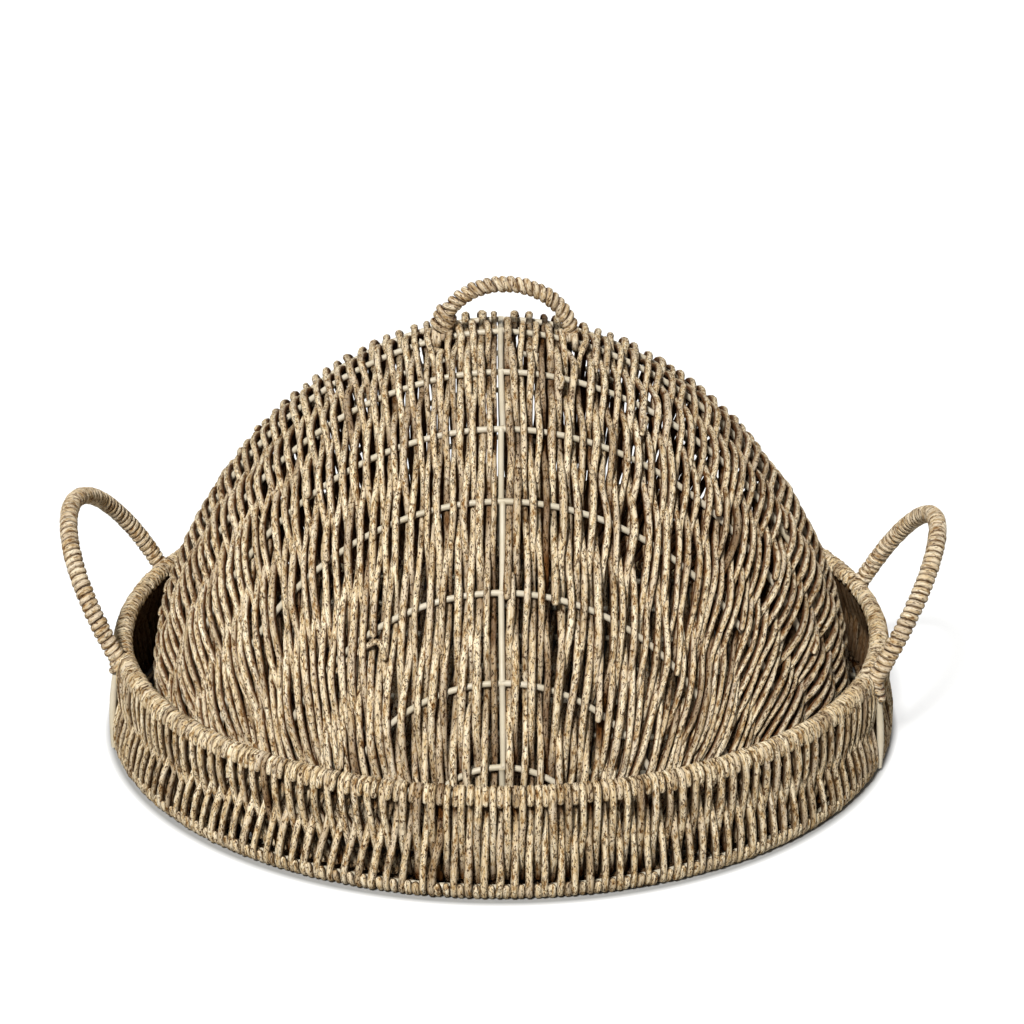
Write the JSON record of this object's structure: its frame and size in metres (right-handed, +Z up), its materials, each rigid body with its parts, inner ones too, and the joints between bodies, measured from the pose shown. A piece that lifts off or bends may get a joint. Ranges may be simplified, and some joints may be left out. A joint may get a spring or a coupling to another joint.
{
  "type": "lidded basket",
  "caption": "Round woven rattan tray on a wire frame with two side handles, and a woven dome lid with a top handle that stands in the tray and lifts off.",
  "frame": {"origin": "middle of the tray's underside, on the resting plane", "axes": "+X through the side handles, +Y towards the back, +Z up"},
  "size_m": [0.5654, 0.5094, 0.2959],
  "materials": {
    "cream_wire": "satin",
    "woven_rattan": "matt",
    "wound_rattan": "matt"
  },
  "bodies": {
    "tray": {"tray_top_ring": "cream_wire", "tray_bottom_ring": "cream_wire", "tray_wall_weave": "woven_rattan", "tray_floor_weave": "woven_rattan", "tray_floor_rod_01": "cream_wire", "tray_floor_rod_02": "cream_wire", "tray_floor_rod_03": "cream_wire", "tray_floor_rod_04": "cream_wire", "tray_floor_rod_05": "cream_wire", "tray_floor_rod_06": "cream_wire", "tray_floor_rod_07": "cream_wire", "tray_floor_rod_08": "cream_wire", "tray_floor_rod_09": "cream_wire", "side_handle_wire_left": "cream_wire", "side_handle_wire_right": "cream_wire", "side_handle_winding_left": "wound_rattan", "side_handle_winding_right": "wound_rattan"},
    "lid": {"lid_base_ring": "cream_wire", "lid_weave": "woven_rattan", "lid_arch_01": "cream_wire", "lid_arch_02": "cream_wire", "lid_arch_03": "cream_wire", "lid_arch_04": "cream_wire", "lid_arch_05": "cream_wire", "lid_arch_06": "cream_wire", "lid_arch_07": "cream_wire", "lid_arch_08": "cream_wire", "lid_arch_09": "cream_wire", "lid_arch_10": "cream_wire", "lid_arch_11": "cream_wire", "lid_arch_12": "cream_wire", "lid_arch_13": "cream_wire", "lid_rib_01": "cream_wire", "lid_rib_02": "cream_wire", "lid_rib_03": "cream_wire", "lid_rib_04": "cream_wire", "lid_rib_05": "cream_wire", "lid_rib_06": "cream_wire", "lid_rib_07": "cream_wire", "lid_rib_08": "cream_wire", "lid_rib_09": "cream_wire", "lid_rib_10": "cream_wire", "lid_rib_11": "cream_wire", "lid_rib_12": "cream_wire", "lid_rib_13": "cream_wire", "lid_rib_14": "cream_wire", "lid_handle_wire": "cream_wire", "lid_handle_winding": "wound_rattan"}
  },
  "joints": [
    {"name": "lid_lift", "type": "slide", "parent": "tray", "child": "lid", "axis": [0, 0, 1], "range_m": [0, 0.2]}
  ]
}
